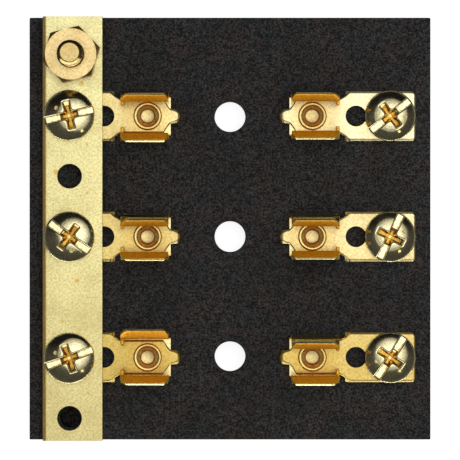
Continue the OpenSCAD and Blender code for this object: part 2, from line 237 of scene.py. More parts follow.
def blend_colour(tree, share, first, second, way="MIX"):
    """Mixes two colours by a share."""
    node = add_node(tree, "ShaderNodeMix", data_type="RGBA", blend_type=way)
    for index, value in ((0, share), (6, first), (7, second)):
        join(tree, node.inputs[index], value)
    return node.outputs[2]


def noise(tree, place, scale, detail=4.0, rough=0.6):
    """Noise with its scale in lumps for each metre."""
    return add_node(tree, "ShaderNodeTexNoise", {
        "Vector": place, "Scale": scale, "Detail": detail, "Roughness": rough}).outputs["Fac"]


def sum_of(tree, first, second, operation="ADD"):
    """Adds, or otherwise combines, two values."""
    return add_node(tree, "ShaderNodeMath", {0: first, 1: second}, operation=operation).outputs[0]


def product(tree, first, second):
    """Multiplies two values."""
    return sum_of(tree, first, second, "MULTIPLY")


def own_place(tree):
    """The place of a point in the part's frame."""
    return add_node(tree, "ShaderNodeTexCoord").outputs["Object"]


def roughen(tree, shader, height, strength, depth):
    """Gives a material a fine relief."""
    relief = add_node(tree, "ShaderNodeBump", {"Strength": strength, "Distance": depth, "Height": height})
    tree.links.new(relief.outputs["Normal"], shader.inputs["Normal"])


dark_fibre = (0.005, 0.0047, 0.0045, 1)
pale_fibre = (0.115, 0.108, 0.102, 1)
warm_fibre = (1.16, 0.97, 0.92, 1)
cool_fibre = (0.88, 0.99, 1.08, 1)
lump_scale, fibre_scale, cloud_scale, hue_scale = 3300, 1200, 140, 260
fibre_share = 0.45
fibre_shine = 0.22
fibre_relief = 0.06 * MM
fibre, tree, shader = new_material("black_fibre")
place = own_place(tree)
lumps = noise(tree, place, lump_scale, detail=2, rough=0.55)
fibres = noise(tree, place, fibre_scale, detail=3)
grain = sum_of(tree, lumps, product(tree, fibres, fibre_share))
cloud = ramp(tree, noise(tree, place, cloud_scale, detail=3), 0.4, 0.75, 0.0, 0.4)
hue = ramp(tree, noise(tree, place, hue_scale, detail=3), 0.38, 0.62)
tone = blend_colour(tree, ramp(tree, grain, 0.62, 1.12), dark_fibre, pale_fibre)
tone = blend_colour(tree, cloud, tone, dark_fibre)
tint = blend_colour(tree, hue, warm_fibre, cool_fibre)
join(tree, shader.inputs["Base Color"], blend_colour(tree, 1.0, tone, tint, way="MULTIPLY"))
join(tree, shader.inputs["Roughness"], ramp(tree, grain, 0.5, 0.95, 0.74, 0.52))
join(tree, shader.inputs["Specular IOR Level"], fibre_shine)
roughen(tree, shader, grain, 0.5, fibre_relief)
fit(fibre_board, "base_board", "block", fibre)

# Fuse clips
# Each clip is one strip of spring brass folded up into two jaws, with lips that flare outwards and a stop
# turned in from the outer end of each jaw. A rivet holds it to the board, and use has bent its jaws a little.
WELD = SMALL / 10
WAYS = [(side, row) for side in SIDES for row in ROWS]
clip_t = 0.5 * MM
jaw_in = 3.35 * MM
jaw_out = 4.1 * MM
base_past = 0.3 * MM
base_past_half = 3.05 * MM
flat_half = 2.8 * MM
jaw_half = 3.55 * MM
throat_half = 2.425 * MM
lip_half = 3.375 * MM
fold_r = jaw_half - flat_half
side_rise = 4.225 * MM
shoulder_r = 1.4 * MM
shoulder_turn = math.radians(40)
throat_r = 0.6 * MM
shoulder_bends = (shoulder_r + throat_r) * (1 - math.cos(shoulder_turn))
shoulder_run = (jaw_half - throat_half - shoulder_bends) / math.sin(shoulder_turn)
lip_turn = math.radians(34)
lip_run = (lip_half - throat_half - throat_r * (1 - math.cos(lip_turn))) / math.sin(lip_turn)
lip_cut_run = 1.1 * MM / math.cos(lip_turn)
lip_cut_in = 0.55 * MM
lip_cut_out = 0.85 * MM
lip_cut_steps = 5
lip_cut_straight = 0.35
lip_cut_still = (jaw_out * lip_cut_in - jaw_in * lip_cut_out) / (lip_cut_in + lip_cut_out)
stop_root = 3.3 * MM
stop_bend_r = jaw_out - clip_t / 2 - stop_root
stop_low = 2.025 * MM
stop_h = 3.1 * MM
stop_gap_half = 1.55 * MM
stop_start = 0.2 * MM
clip_ease = 0.1 * MM
fold_high = 2 * MM
stop_high = 6 * MM
side_half = 2.85 * MM
stop_out_half = 2.6 * MM
facing = 0.3
jaw_lean = {
    "bus_1": (6, -1.5), "bus_2": (1.5, -5), "bus_3": (3.5, 9),
    "wire_1": (-1, 3), "wire_2": (-5, 0), "wire_3": (-5.5, 4),
}


def pick(piece, kind, wanted):
    """Selects the faces or edges whose middle passes a test, and leaves the piece open for editing."""
    bpy.ops.object.mode_set(mode="EDIT")
    bpy.ops.mesh.select_mode(type=kind)
    bpy.ops.mesh.select_all(action="DESELECT")
    bpy.ops.object.mode_set(mode="OBJECT")
    mesh = piece.data
    for part in (mesh.edges if kind == "EDGE" else mesh.polygons):
        corners = [mesh.vertices[index].co for index in part.vertices]
        part.select = wanted(sum(corners, Vector()) / len(corners))
    bpy.ops.object.mode_set(mode="EDIT")


def draw_out(move):
    """Draws the selected edges out by one move."""
    bpy.ops.mesh.extrude_region_move(TRANSFORM_OT_translate={"value": move})


def draw_arc(along, up, radius, turn, heading=0.0, parts=8):
    """Draws the selected edges round an arc that starts at a heading between two directions."""
    step = turn / parts
    chord = 2 * radius * math.sin(abs(step) / 2)
    for part in range(parts):
        angle = heading + step * (part + 0.5)
        draw_out(along * (chord * math.cos(angle)) + up * (chord * math.sin(angle)))
    return heading + turn


def lip_length(step):
    """Length of a lip after a step of its corner cut, which curves in more and more."""
    share = step / lip_cut_steps
    gone = lip_cut_straight * share + (1 - lip_cut_straight) * share * share
    return jaw_in + jaw_out - (lip_cut_in + lip_cut_out) * gone


def fold_jaw(piece, way, lean):
    """Folds up the jaw on the +Y side (way 1) or the -Y side (way -1) of a clip's base."""
    along, up = Vector((0, way, 0)), Vector((0, 0, 1))
    fold = math.radians(90 - lean)
    pick(piece, "EDGE", lambda mid: abs(way * mid.y - flat_half) < SMALL)
    heading = draw_arc(along, up, fold_r, fold)
    rise = along * math.cos(heading) + up * math.sin(heading)
    draw_out(rise * stop_low)
    draw_out(rise * (side_rise - stop_low))
    heading = draw_arc(along, up, shoulder_r, shoulder_turn, heading)
    draw_out((along * math.cos(heading) + up * math.sin(heading)) * shoulder_run)
    heading = draw_arc(along, up, throat_r, -shoulder_turn - lip_turn, heading, parts=10)
    lip = along * math.cos(heading) + up * math.sin(heading)
    draw_out(lip * (lip_run - lip_cut_run))
    for step in range(lip_cut_steps):
        draw_out(lip * lip_cut_run / lip_cut_steps)
        narrower = lip_length(step + 1) / lip_length(step)
        bpy.ops.transform.resize(value=(narrower, 1, 1), center_override=(lip_cut_still, 0, 0))

    # The stop is the part of the side between two slits, turned in at its root
    inward = up * math.cos(fold) - along * math.sin(fold)
    foot = along * (flat_half + fold_r * math.sin(fold)) + up * (clip_t / 2 + fold_r * (1 - math.cos(fold)))
    level = foot + rise * (stop_low + side_rise) / 2
    end_face = level + Vector(((stop_root + jaw_out) / 2, 0, 0))
    pick(piece, "FACE", lambda mid: (mid - end_face).length < SMALL)
    bpy.ops.mesh.delete(type="FACE")
    root_edge = level + Vector((stop_root, 0, 0))
    pick(piece, "EDGE", lambda mid: (mid - root_edge).length < SMALL)
    draw_arc(Vector((1, 0, 0)), inward, stop_bend_r, QUARTER_TURN, parts=6)
    draw_out(inward * stop_start)
    low_corner = foot + rise * stop_low
    bpy.ops.transform.resize(value=(1, 1, stop_h / (side_rise - stop_low)), center_override=low_corner)
    draw_out(inward * (jaw_half - stop_bend_r - stop_start - stop_gap_half))


def mark_points(piece, name, wanted):
    """Marks the points that pass a test with 1 and all others with 0, for the piece's material."""
    marks = piece.data.attributes.new(name, "FLOAT", "POINT")
    for vertex, mark in zip(piece.data.vertices, marks.data):
        mark.value = float(wanted(vertex))


def faces_fuse(vertex):
    """Whether a point of a clip lies on the inner face of a jaw or of a lip, which is painted the deep orange
    of light bounced between the jaws.
    """
    at = vertex.co
    outward = math.copysign(vertex.normal.y, at.y * vertex.normal.y)
    on_side = abs(at.y) > side_half
    inside = outward < (-facing if on_side and fold_high < at.z < stop_high else facing)
    return inside and (on_side or at.z > fold_high)


def in_slit(vertex):
    """Whether a point of a clip lies on the upper edge of a stop's bend, which is painted near black as shade.
    """
    at = vertex.co
    on_bend = at.x > stop_root and fold_high < at.z < stop_high and abs(at.y) > stop_out_half
    return on_bend and vertex.normal.z > facing


def fold_clip(name, leans):
    """Folds one clip from flat sheet, with its rivet hole at the origin and its base on Z = 0."""
    let_go()
    bpy.ops.mesh.primitive_plane_add(size=1, location=((jaw_out - jaw_in) / 2, 0, clip_t / 2))
    bpy.ops.transform.resize(value=(jaw_in + jaw_out, 2 * flat_half, 1))
    piece = named(name)
    edit_all()
    bpy.ops.mesh.bisect(plane_co=(stop_root, 0, 0), plane_no=(1, 0, 0))
    for way, lean in zip((1, -1), leans):
        fold_jaw(piece, way, lean)
    pick(piece, "EDGE", lambda mid: mid.x < SMALL - jaw_in and abs(mid.y) < base_past_half and mid.z < fold_r)
    draw_out((-base_past, 0, 0))
    bpy.ops.mesh.select_all(action="SELECT")
    bpy.ops.mesh.remove_doubles(threshold=WELD)
    end_edit()
    work(piece, "SOLIDIFY", thickness=clip_t, offset=0, use_even_offset=True, use_quality_normals=True)
    drill(piece, (0, 0), rivet_hole_r, -OVERCUT, 2 * clip_t)
    ease_edges(piece, clip_ease)
    mark_points(piece, "inner", faces_fuse)
    mark_points(piece, "slit", in_slit)
    return piece


def seat(piece, at, turn=0.0):
    """Puts a piece that was made at the origin in its place."""
    take(piece)
    piece.location = at
    piece.rotation_euler = (0, 0, turn)
    bpy.ops.object.transform_apply()


def way_seat(side, row):
    """Where a way's rivet stands on the board, and how far the way is turned."""
    at = middle(f"{side}_rivet_{row}")
    return Vector((at.x, at.y, board_top)), (math.pi if side == "bus" else 0.0)


WHITE = (1, 1, 1, 1)
dim_grain = (0.76, 0.72, 0.62, 1)
fine_scale, broad_scale, speck_scale = 3000, 210, 1500
worn_brass = bpy.data.node_groups.new("worn_brass", "ShaderNodeTree")
for label, socket_kind in (
        ("Metal", "NodeSocketColor"), ("Stain", "NodeSocketColor"), ("Stain Share", "NodeSocketFloat"),
        ("Dullness", "NodeSocketFloat"), ("Grain", "NodeSocketFloat")):
    worn_brass.interface.new_socket(name=label, in_out="INPUT", socket_type=socket_kind)
for label, socket_kind in (
        ("Color", "NodeSocketColor"), ("Roughness", "NodeSocketFloat"), ("Height", "NodeSocketFloat")):
    worn_brass.interface.new_socket(name=label, in_out="OUTPUT", socket_type=socket_kind)
given = worn_brass.nodes.new("NodeGroupInput").outputs
place = own_place(worn_brass)
fine = noise(worn_brass, place, fine_scale, detail=3)
broad = noise(worn_brass, place, broad_scale)
specks = ramp(worn_brass, noise(worn_brass, place, speck_scale, detail=2), 0.66, 0.78)
speckled = blend_colour(worn_brass, ramp(worn_brass, fine, 0.36, 0.6), dim_grain, WHITE)
metal = blend_colour(worn_brass, 1.0, given["Metal"], speckled, way="MULTIPLY")
spots = sum_of(worn_brass, ramp(worn_brass, broad, 0.5, 0.8), specks)
stain = product(worn_brass, spots, given["Stain Share"])
dull = sum_of(worn_brass, given["Dullness"], ramp(worn_brass, broad, 0.35, 0.7, -0.03, 0.06))
ends = worn_brass.nodes.new("NodeGroupOutput").inputs
join(worn_brass, ends["Color"], blend_colour(worn_brass, stain, metal, given["Stain"]))
join(worn_brass, ends["Roughness"], dull)
join(worn_brass, ends["Height"], product(worn_brass, fine, given["Grain"]))
brass_relief = 0.01 * MM


def brass(name, metal, stain, stain_share, dullness, grain=1.0):
    """A brass of its own tone, with worn_brass for its grain and stains."""
    material, tree, shader = new_material(name)
    wear = add_node(tree, "ShaderNodeGroup", {
        "Metal": metal, "Stain": stain, "Stain Share": stain_share, "Dullness": dullness, "Grain": grain},
        node_tree=worn_brass)
    join(tree, shader.inputs["Metallic"], 1.0)
    join(tree, shader.inputs["Base Color"], wear.outputs["Color"])
    join(tree, shader.inputs["Roughness"], wear.outputs["Roughness"])
    roughen(tree, shader, wear.outputs["Height"], 0.25, brass_relief)
    return material, tree, wear.inputs


def less_metal_for_painted_light(tree, share, metal_left):
    """Takes part of the metal's shine away where a share says, so that painted shade and painted reflections
    show.
    """
    join(tree, tree.nodes["Principled BSDF"].inputs["Metallic"], ramp(tree, share, 0, 1, 1, metal_left))


def marked_points(tree, name):
    """The mark that a piece's points carry."""
    return add_node(tree, "ShaderNodeAttribute", attribute_name=name).outputs["Fac"]


pale_spring = (0.86, 0.74, 0.37, 1)
bounce_painted_spring = (1, 0.47, 0.015, 1)
slit_painted_shade = (0.06, 0.035, 0.01, 1)
stained_spring = (0.8, 0.45, 0.06, 1)
outer_dullness = 0.22
inner_dullness = 0.36
inner_metal = 0.5
spring_brass, tree, wear = brass(
    "spring_brass", pale_spring, stained_spring, stain_share=0.2, dullness=inner_dullness, grain=0.3)
# Painted reflection: the inner faces of jaws and lips are painted deep orange, with less metal, for light
# bounced between the jaws.
inner = marked_points(tree, "inner")
tone = blend_colour(tree, inner, pale_spring, bounce_painted_spring)
# Painted shade: the upper edges of the stops' bends are painted near black.
join(tree, wear["Metal"], blend_colour(tree, marked_points(tree, "slit"), tone, slit_painted_shade))
join(tree, wear["Dullness"], ramp(tree, inner, 0, 1, outer_dullness, inner_dullness))
less_metal_for_painted_light(tree, inner, inner_metal)
for side, row in WAYS:
    clip = fold_clip(f"{side}_spring_clip_{row}", jaw_lean[f"{side}_{row}"])
    seat(clip, *way_seat(side, row))
    fit(clip, f"{side}_clip_{row}", "block", spring_brass)

# Terminal strips
# Stamped from brass sheet: a pointed tongue with its tip bent down, a neck that lies on the clip, and a plate
# whose rim is bent down to the board on three sides. A collar drawn down from the plate carries the thread.
strip_t = 0.8 * MM
strip_top = 1.3 * MM
clip_top = strip_top - strip_t
strip_round = 0.3 * MM
tongue_l = 5.3 * MM
tongue_half = 1.02 * MM
tongue_root = 3.75 * MM
tongue_root_half = 1.12 * MM
tip_end = strip_t - tongue_l
tip_round = 0.8 * MM
tip_corner_r = 0.6 * MM
tip_flat = 0.08 * MM
flare = 2.07
flare_r = 0.8 * MM
flare_start = 0.15 * MM
flare_l = 1.5 * MM
neck_half = 2.73 * MM
throat_l = 1.9 * MM
plate_in = 5.1 * MM
plate_out = 16.4 * MM
plate_half = 3.97 * MM
plate_corner_r = 0.9 * MM
wall_corner_r = 0.7 * MM
rim_round = 0.38 * MM
edge_fall = 0.617
edge_form = ((1, 0), (0.42, 0.752), (0.3, 0.869), (0.15, 0.966), (0, 1))
edge_margin = 0.06 * MM
hem = 0.06 * MM
hem_low = 0.16 * MM
hem_high = 0.28 * MM
hem_slope = 0.72
wall = plate_out - hem
ear_r = 0.5 * MM
ear_hem = 0.42 * MM
ear_l = 1 * MM
ear_step = 0.1 * MM
arc_parts = 6
screw_reach = 12.25 * MM
wire_hole_reach = 6.9 * MM
wire_hole_r = 1.65 * MM
collar_r = 2.8 * MM
collar_l = 1.5 * MM
thread_hole_r = 2.05 * MM


def smooth(share):
    """Eases a share from 0 to 1."""
    share = min(max(share, 0.0), 1.0)
    return share * share * (3 - 2 * share)


def quarter(radius, run):
    """How far a quarter round has fallen, run short of its end."""
    run = min(max(run, 0.0), radius)
    return radius - math.sqrt(radius * radius - run * run)


def outline(u):
    """Half the width of the strip at a distance from the rivet: of its flat top, its side and its foot."""
    if u <= -tongue_root:
        share = smooth((u + tongue_l) / (tongue_l - tongue_root))
        side = tongue_half + (tongue_root_half - tongue_half) * share
        side -= quarter(tip_corner_r, -u - (tongue_l - tip_corner_r))
        return max(side - tip_round - (strip_round - tip_round) * share, tip_flat), side, side
    if u < jaw_out:
        run = u + tongue_root
        side = min(tongue_root_half + flare * run * run / (run + flare_r), neck_half)
        return side - strip_round, side, side
    share = smooth((u - jaw_out) / throat_l)
    ear = ear_hem + (hem - ear_hem) * smooth((u - plate_in) / ear_l)
    side = neck_half + (plate_half - ear - neck_half) * share
    flat = side - strip_round - (rim_round - strip_round) * smooth((u - plate_in) / ear_l)
    if u < plate_in:
        return flat, side, side
    corner = quarter(wall_corner_r, u - (wall - wall_corner_r))
    foot = plate_half - quarter(ear_r, plate_in + ear_r - u)
    foot -= quarter(plate_corner_r, u - (plate_out - plate_corner_r))
    return min(flat - corner, foot), min(side - corner, foot), foot


def top_of(u):
    """Height of the strip's top at a distance from the rivet. It falls at both ends."""
    if u > wall:
        return hem_low + (hem_high - hem_low) * (plate_out - u) / hem
    return strip_top - quarter(strip_t, tip_end - u) - quarter(rim_round, u - (wall - rim_round))


def section(u, rim, under):
    """Points round the strip's section: rim is how low its edges reach, under how high its underside lies."""
    flat, side, foot = outline(u)
    top = top_of(u)
    hem_top = rim + hem_low + max(hem_high - hem_low, hem_slope * (foot - side))
    drop = max(min(edge_fall * (side - flat), top - hem_top), 0)
    half = [(foot - strip_t, under), (foot - strip_t, rim), (foot, rim), (foot, min(rim + hem_low, top)),
            (side, min(hem_top, top))]
    half += [(flat + (side - flat) * out, top - drop + drop * rise) for out, rise in edge_form]
    half.append((flat - edge_margin, top))
    ring = half + [(-v, z) for v, z in reversed(half)] + half[:1]
    return [Vector((u, v, z)) for v, z in ring]


def grid_piece(name, rows):
    """A grid whose points lie where the rows say."""
    columns = len(rows[0])
    let_go()
    bpy.ops.mesh.primitive_grid_add(x_subdivisions=columns - 1, y_subdivisions=len(rows) - 1, size=1)
    piece = named(name)
    for index, vertex in enumerate(piece.data.vertices):
        row, column = divmod(index, columns)
        vertex.co = rows[row][column]
    edit_all()
    return piece


def formed(name, rows):
    """Forms a grid into a closed bar: each row holds the points round one section."""
    piece = grid_piece(name, rows)
    bpy.ops.mesh.remove_doubles(threshold=WELD)
    bpy.ops.mesh.fill_holes(sides=0)
    end_edit()
    return piece


def spread(low, high, parts):
    """Even steps from low to high, with both ends."""
    return [low + (high - low) * part / parts for part in range(parts + 1)]


arc = spread(0, QUARTER_TURN, arc_parts)
stretches = (
    ([-tongue_l + strip_t * (1 - math.cos(angle)) for angle in arc], 0, 0),
    (spread(tip_end + SMALL, -tongue_root, 6), clip_top, clip_top),
    (spread(-tongue_root + flare_start, -tongue_root + flare_l, 9), clip_top, clip_top),
    (spread(jaw_out, plate_in - SMALL, 6), clip_top, clip_top),
    (spread(plate_in, plate_in + ear_r, 6), 0, clip_top),
    (spread(plate_in + ear_r + ear_step, plate_in + ear_l, 6), 0, clip_top),
    (spread(plate_out - plate_corner_r - hem, plate_out - strip_t, 3), 0, clip_top),
    (spread(plate_out - strip_t + SMALL, wall - rim_round - SMALL, 3), 0, 0),
    ([wall - rim_round * (1 - math.sin(angle)) for angle in arc], 0, 0),
    (spread(wall + SMALL, plate_out, 4), 0, 0),
)
strip = formed("strip", [section(u, rim, under) for places, rim, under in stretches for u in places])
collar_form = [(collar_r, clip_top - collar_l), (collar_r, clip_top + strip_t / 2)]
cut(strip, turned("collar", collar_form, (screw_reach, 0, 0)), operation="UNION")
drill(strip, (screw_reach, 0), thread_hole_r, -collar_l - OVERCUT, strip_top + OVERCUT)
drill(strip, (wire_hole_reach, 0), wire_hole_r, -OVERCUT, strip_top + OVERCUT)
drill(strip, (0, 0), rivet_hole_r, -OVERCUT, strip_top + OVERCUT)
shade(strip)


def copy_of(piece, name):
    """A copy of a piece with a mesh of its own."""
    take(piece)
    bpy.ops.object.duplicate()
    copy = bpy.context.object
    copy.name = name
    return copy


def fit_ways(model, label, kind, material):
    """Fits a copy of a model in each way, and puts the model away."""
    for side, row in WAYS:
        piece = copy_of(model, f"{side}_{label}_{row}")
        seat(piece, *way_seat(side, row))
        fit(piece, f"{side}_{kind}_{row}", "block", material)
    bpy.data.objects.remove(model)


def own_axes(tree):
    """The place of a point in the part's frame, as X, Y and Z."""
    return add_node(tree, "ShaderNodeSeparateXYZ", {"Vector": own_place(tree)}).outputs


lit_strip = (0.94, 0.86, 0.55, 1)
shaded_strip = (0.64, 0.47, 0.13, 1)
stained_strip = (0.66, 0.45, 0.13, 1)
jaw_reflection_tint = (1, 0.9, 0.72, 1)
lit_end_y = 18 * MM
shaded_end_y = -20 * MM
falloff_half_x = 25 * MM
falloff_down = 0.95
falloff_across = (0.78, 0.05)
warm_near = 2 * MM
warm_far = 4.5 * MM
rivet_x = abs(middle("wire_rivet_1").x)
strip_brass, tree, wear = brass("strip_brass", lit_strip, stained_strip, stain_share=0.35, dullness=0.3)
axes = own_axes(tree)
# Painted light: the strips are painted paler towards +Y and +X and more golden towards -Y and -X, as the light
# falls off across the block.
down = ramp(tree, axes["Y"], lit_end_y, shaded_end_y)
across = ramp(tree, axes["X"], falloff_half_x, -falloff_half_x)
painted_falloff = sum_of(tree, product(tree, down, falloff_down), product(tree, across, ramp(tree, down, 0, 1, *falloff_across)))
# Painted reflection: near its rivet, between the jaws, the strip is tinted warmer for the orange the jaws
# reflect onto it.
off_rivet = sum_of(tree, sum_of(tree, axes["X"], 0, "ABSOLUTE"), rivet_x, "SUBTRACT")
by_rivet = ramp(tree, sum_of(tree, off_rivet, 0, "ABSOLUTE"), warm_near, warm_far, 1, 0)
tone = blend_colour(tree, painted_falloff, lit_strip, shaded_strip)
join(tree, wear["Metal"], blend_colour(tree, by_rivet, tone, jaw_reflection_tint, way="MULTIPLY"))
fit_ways(strip, "strip", "terminal", strip_brass)

# Rivets
# Semi-tubular brass rivets, put in from the back of the board. The hollow end is rolled outwards over the
# strip, so that it shows a raised ring round an open hole.
rivet_r = 1.55 * MM
rivet_foot = 0.3 * MM - board_top
rivet_head_r = 2.8 * MM
rivet_head_top = rivet_foot + 1 * MM
rivet_head_ease = 0.15 * MM
roll_r = 2.25 * MM
roll_bead_r = 0.325 * MM
roll_step = 18
roll_parts = 12
crest_half = 0.08 * MM
hollow_r = 1.2 * MM
hollow_lip = ((0.26, 0.45), (0.07, 0.34), (0, 0.2))
hollow_floor = 0.36 * MM
hollow_wall = 0.3 * MM
dish_r = hollow_r - 0.1 * MM
dish_depth = 0.12 * MM
dish_shares = (1, 0.86, 0.72, 0.56, 0.4, 0.22, 0.05)
rivet_ease = 0.04 * MM
rivet_sharp = 50
profile = [
    (rivet_head_r - rivet_head_ease, rivet_foot), (rivet_head_r, rivet_foot + rivet_head_ease),
    (rivet_head_r, rivet_head_top), (rivet_r, rivet_head_top), (rivet_r, strip_top)]
for part in range(roll_parts + 1):
    angle = math.radians(roll_step * part - 90)
    out = math.copysign(crest_half, math.cos(angle)) + (roll_bead_r - crest_half) * math.cos(angle)
    profile.append((roll_r - roll_bead_r + out, strip_top + roll_bead_r * (1 + math.sin(angle))))
profile += [(hollow_r + out * MM, strip_top + rise * MM) for out, rise in hollow_lip]
profile.append((hollow_r, hollow_floor + hollow_wall))
profile += [(dish_r * share, hollow_floor - dish_depth * (1 - share * share)) for share in dish_shares]
rivet = turned("rivet", profile)
ease_edges(rivet, rivet_ease, sharp=rivet_sharp)

pale_rivet = (0.66, 0.52, 0.24, 1)
crest_painted_highlight = (0.84, 0.62, 0.22, 1)
crater_painted_bounce = (0.95, 0.56, 0.13, 1)
stained_rivet = (0.6, 0.33, 0.07, 1)
rivet_wall_metal = 0.5
crater_foot = board_top + hollow_floor
crater_edge = crater_foot + 0.15 * MM
crest_top = board_top + strip_top + 2 * roll_bead_r
crest_foot = crest_top - 0.18 * MM
crest_edge = crest_top - 0.08 * MM
rivet_brass, tree, wear = brass("rivet_brass", pale_rivet, stained_rivet, stain_share=0.4, dullness=0.26)
# Painted light: the crater's wall is painted orange, with less metal, for light bounced inside it, and the
# crest of the rolled ring golden as a painted highlight.
rise = own_axes(tree)["Z"]
off_floor = ramp(tree, rise, crater_foot, crater_edge)
on_crest = ramp(tree, rise, crest_foot, crest_edge)
on_wall = sum_of(tree, off_floor, on_crest, "SUBTRACT")
tone = blend_colour(tree, off_floor, pale_rivet, crater_painted_bounce)
join(tree, wear["Metal"], blend_colour(tree, on_crest, tone, crest_painted_highlight))
less_metal_for_painted_light(tree, on_wall, rivet_wall_metal)
fit_ways(rivet, "tubular_rivet", "rivet", rivet_brass)

# Stud spacer and bus bar
# A turned washer lifts the bar off the board at the feed stud. The bar is drawn flat brass with punched holes,
# and the terminal screws clamp it onto the bus side's strips.
bright_nut = (0.84, 0.65, 0.31, 1)
nut_corner_painted_shade = (0.24, 0.15, 0.045, 1)
stained_nut = (0.7, 0.45, 0.14, 1)
nut_half = 4 * MM
nut_corner = nut_half + 0.1 * MM
nut_brass, tree, wear = brass("nut_brass", bright_nut, stained_nut, stain_share=0.5, dullness=0.34)
# Painted shade: the nut's chamfered corners, beyond the flats' half width from the stud's axis, are painted
# dark.
flat_place = add_node(tree, "ShaderNodeVectorMath", {0: own_place(tree), 1: (1, 1, 0)}, operation="MULTIPLY")
off_axis = add_node(
    tree, "ShaderNodeVectorMath", {0: flat_place.outputs["Vector"], 1: stud_axis}, operation="DISTANCE")
on_corner = ramp(tree, off_axis.outputs["Value"], nut_half, nut_corner)
join(tree, wear["Metal"], blend_colour(tree, on_corner, bright_nut, nut_corner_painted_shade))
spacer_low, spacer_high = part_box("stud_spacer")
spacer_r = (spacer_high.x - spacer_low.x) / 2
spacer_ease = 0.12 * MM
spacer = turned("turned_spacer", [(spacer_r, spacer_low.z), (spacer_r, spacer_high.z)], stud_axis)
drill(spacer, stud_at, stud_hole_r, spacer_low.z - OVERCUT, spacer_high.z + OVERCUT)
ease_edges(spacer, spacer_ease)
fit(spacer, "stud_spacer", "block", nut_brass)

bar_low, bar_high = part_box("bus_bar")
bar_screw_hole_r = 2.2 * MM
bar_ease = 0.1 * MM
bar_edge_r = 0.6 * MM
bar_edge_parts = 6
bar = block("flat_bar", bar_low, bar_high)
pick(bar, "EDGE", lambda mid: mid.x < bar_low.x + SMALL and mid.z > bar_high.z - SMALL)
bpy.ops.mesh.bevel(offset=bar_edge_r, segments=bar_edge_parts)
bpy.ops.object.mode_set(mode="OBJECT")
bar_holes = [(middle(f"bus_screw_{row}"), bar_screw_hole_r) for row in ROWS] + [(stud_at, stud_hole_r)]
free_holes = [mounts["bar_free_hole_1"], mounts["bar_free_hole_2"]]
bar_holes += [(hole["pos_m"], hole["dims"]["r_mm"] * MM) for hole in free_holes]
for at, radius in bar_holes:
    drill(bar, at, radius, bar_low.z - OVERCUT, bar_high.z + OVERCUT)
ease_edges(bar, bar_ease, segments=3)

lit_bar = (0.94, 0.87, 0.45, 1)
shaded_bar = (0.84, 0.73, 0.34, 1)
stain_and_shade_bar = (0.74, 0.5, 0.14, 1)
cloudy_bar = (0.72, 0.55, 0.2, 1)
bar_edge_metal = 0.7
bar_edge_dark = bar_low.x + 0.3 * MM
bar_edge_clear = bar_low.x + 0.75 * MM
spot_core = 0.3
bar_spots = (
    (-27.4, 8.9, 0.6), (-24.1, -8.2, 0.5), (-23.4, 22.9, 0.5), (-22.5, 13.2, 0.28),
    (-22.5, 5.6, 0.28), (-22.3, -25.9, 0.3), (-26.3, -14.6, 0.3), (-28.1, 25.2, 0.35))
bar_brass, tree, wear = brass("bar_brass", lit_bar, cloudy_bar, stain_share=0.45, dullness=0.4)
place = own_place(tree)
axes = own_axes(tree)
# Painted light: the bar is painted paler towards +Y and more golden towards -Y, as the light falls off across
# the block.
tone = blend_colour(tree, ramp(tree, axes["Y"], bar_high.y, bar_low.y), lit_bar, shaded_bar)
# Painted shade: the bar's rounded left edge is painted dark, with less metal; the listed spots are real stains
# in the same colour.
left_edge_shade = ramp(tree, axes["X"], bar_edge_dark, bar_edge_clear, 1, 0)
marked = left_edge_shade
for x, y, radius in bar_spots:
    away = add_node(
        tree, "ShaderNodeVectorMath", {0: place, 1: (x * MM, y * MM, bar_high.z)}, operation="DISTANCE")
    spot = ramp(tree, away.outputs["Value"], spot_core * radius * MM, radius * MM, 1, 0)
    marked = sum_of(tree, marked, spot, "MAXIMUM")
join(tree, wear["Metal"], blend_colour(tree, marked, tone, stain_and_shade_bar))
less_metal_for_painted_light(tree, left_edge_shade, bar_edge_metal)
fit(bar, "bus_bar", "block", bar_brass)

# Terminal screws
# Pan head machine screws, plated bright, with a straight slot across the whole head and a cross recess in its
# middle. Those on the bus side clamp the bar, and those on the wire side clamp a wire onto the plate.
screw_r = 2 * MM
screw_l = 5 * MM
screw_tip = 0.4 * MM
thread_pitch = 0.7 * MM
thread_depth = 0.32 * MM
thread_form = ((0, 0), (0.14, 0), (0.5, 1), (0.64, 1))
thread_parts = 48
thread_in_head = 0.15 * MM
head_r = 4 * MM
head_h = 2.6 * MM
head_edge = 1.5 * MM
head_foot = 0.1 * MM
head_round = 0.26 * MM
head_round_h = 1.4 * head_round
head_round_step = 18
head_round_parts = 5
head_cap = ((0.8 * head_r, head_h), (0.1 * head_r, head_h + OVERCUT))
head_proud = 0.02 * MM
head_parts = 96
head_sharp = 38
dome_rise = head_h - head_edge
dome_r = (head_r ** 2 + dome_rise ** 2) / (2 * dome_rise)
slot_half = 0.46 * MM
slot_floor = head_h - 1.3 * MM
cross_half = 2.15 * MM
cross_core = 0.25 * MM
cross_floor = head_h - 2.35 * MM
cross_slope = 0.9
wing_half = 0.42 * MM
lip_round = 0.34 * MM
corner_round = 0.6 * MM
wall_slope = 7
dot_r = 0.34 * MM
dot_out = 0.12 * MM
dot_reach = 2.28 * MM
dot_angle = math.radians(-43)
head_lines = [mm * MM for mm in (
    0, 0.1, 0.2, 0.26, 0.31, 0.36, 0.4, 0.42, 0.44, 0.46, 0.49, 0.53, 0.57, 0.62, 0.67, 0.73, 0.79, 0.85,
    0.92, 1, 1.12, 1.25, 1.4, 1.55, 1.7, 1.85, 1.95, 2.05, 2.12, 2.15, 2.17, 2.2, 2.24, 2.29, 2.35, 2.41,
    2.47, 2.54, 2.65, 2.8, 2.95, 3.15, 3.35, 3.55, 3.75, 3.95, 4.15)]
